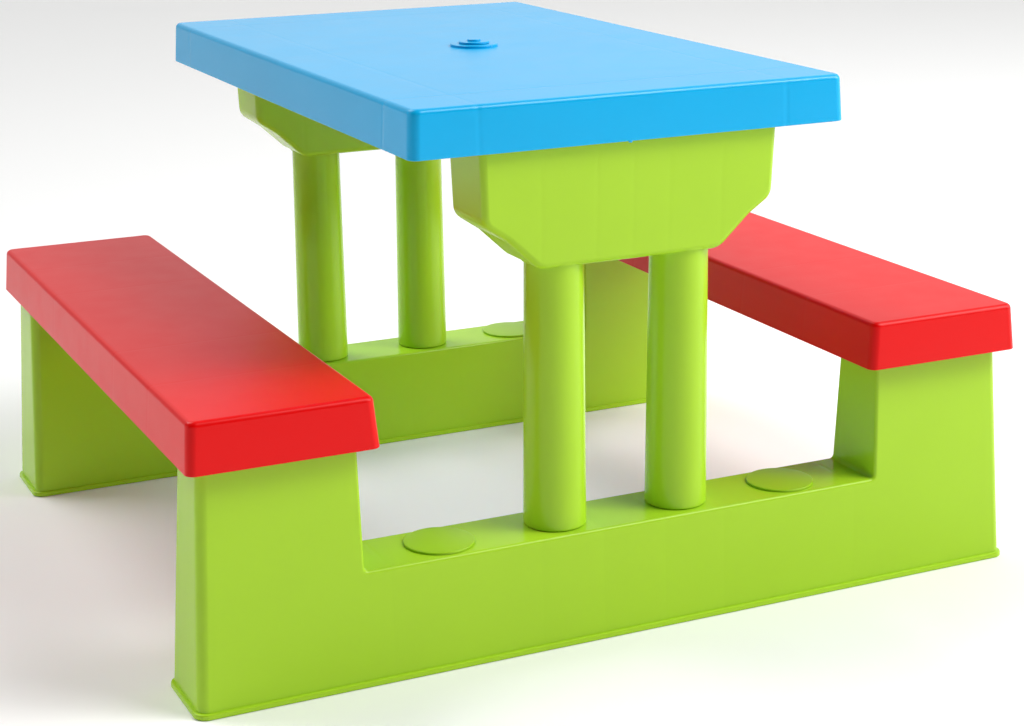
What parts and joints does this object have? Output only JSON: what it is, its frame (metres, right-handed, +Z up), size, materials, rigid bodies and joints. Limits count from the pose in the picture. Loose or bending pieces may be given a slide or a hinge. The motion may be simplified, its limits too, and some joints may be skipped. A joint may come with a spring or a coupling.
{
  "type": "kids' picnic table and benches",
  "caption": "Small plastic picnic table for children: a tray-shaped tabletop on posts and open end frames, with a bench on each side and a plugged umbrella hole.",
  "frame": {"origin": "on the floor, under the middle of the tabletop", "axes": "+X from the left bench to the right bench, +Y along the benches towards the back end frame, +Z up"},
  "size_m": [0.8084, 0.677, 0.4864],
  "materials": {
    "blue_plastic": "satin moulded polypropylene",
    "red_plastic": "satin moulded polypropylene",
    "green_plastic": "satin moulded polypropylene",
    "cap_green_plastic": "duller moulded polypropylene",
    "zinc_steel": "zinc-plated self-tapping screw"
  },
  "bodies": {
    "root": {"tabletop": "blue_plastic", "umbrella_sleeve": "blue_plastic", "bench_left": "red_plastic", "bench_right": "red_plastic", "end_frame_front": "green_plastic", "end_frame_back": "green_plastic", "bracket_front": "green_plastic", "bracket_back": "green_plastic", "post_front_left": "green_plastic", "post_front_right": "green_plastic", "post_back_left": "green_plastic", "post_back_right": "green_plastic", "post_foot_screw_front_left": "zinc_steel", "post_top_screw_front_left": "zinc_steel", "seat_screw_front_left_1": "zinc_steel", "seat_screw_front_left_2": "zinc_steel", "post_foot_screw_front_right": "zinc_steel", "post_top_screw_front_right": "zinc_steel", "seat_screw_front_right_1": "zinc_steel", "seat_screw_front_right_2": "zinc_steel", "table_screw_front_1": "zinc_steel", "table_screw_front_2": "zinc_steel", "table_screw_front_3": "zinc_steel", "table_screw_front_4": "zinc_steel", "post_foot_screw_back_left": "zinc_steel", "post_top_screw_back_left": "zinc_steel", "seat_screw_back_left_1": "zinc_steel", "seat_screw_back_left_2": "zinc_steel", "post_foot_screw_back_right": "zinc_steel", "post_top_screw_back_right": "zinc_steel", "seat_screw_back_right_1": "zinc_steel", "seat_screw_back_right_2": "zinc_steel", "table_screw_back_1": "zinc_steel", "table_screw_back_2": "zinc_steel", "table_screw_back_3": "zinc_steel", "table_screw_back_4": "zinc_steel", "sleeve_screw_1": "zinc_steel", "sleeve_screw_2": "zinc_steel"},
    "umbrella_plug": {"umbrella_plug": "blue_plastic"},
    "beam_cap_front_left": {"beam_cap_front_left": "cap_green_plastic"},
    "beam_cap_front_right": {"beam_cap_front_right": "cap_green_plastic"},
    "beam_cap_back_left": {"beam_cap_back_left": "cap_green_plastic"},
    "beam_cap_back_right": {"beam_cap_back_right": "cap_green_plastic"}
  },
  "joints": [
    {"name": "umbrella_plug_lift", "type": "slide", "parent": "root", "child": "umbrella_plug", "axis": [0, 0, 1], "range_m": [0, 0.06]},
    {"name": "beam_cap_front_left_lift", "type": "slide", "parent": "root", "child": "beam_cap_front_left", "axis": [0, 0, 1], "range_m": [0, 0.03]},
    {"name": "beam_cap_front_right_lift", "type": "slide", "parent": "root", "child": "beam_cap_front_right", "axis": [0, 0, 1], "range_m": [0, 0.03]},
    {"name": "beam_cap_back_left_lift", "type": "slide", "parent": "root", "child": "beam_cap_back_left", "axis": [0, 0, 1], "range_m": [0, 0.03]},
    {"name": "beam_cap_back_right_lift", "type": "slide", "parent": "root", "child": "beam_cap_back_right", "axis": [0, 0, 1], "range_m": [0, 0.03]}
  ]
}
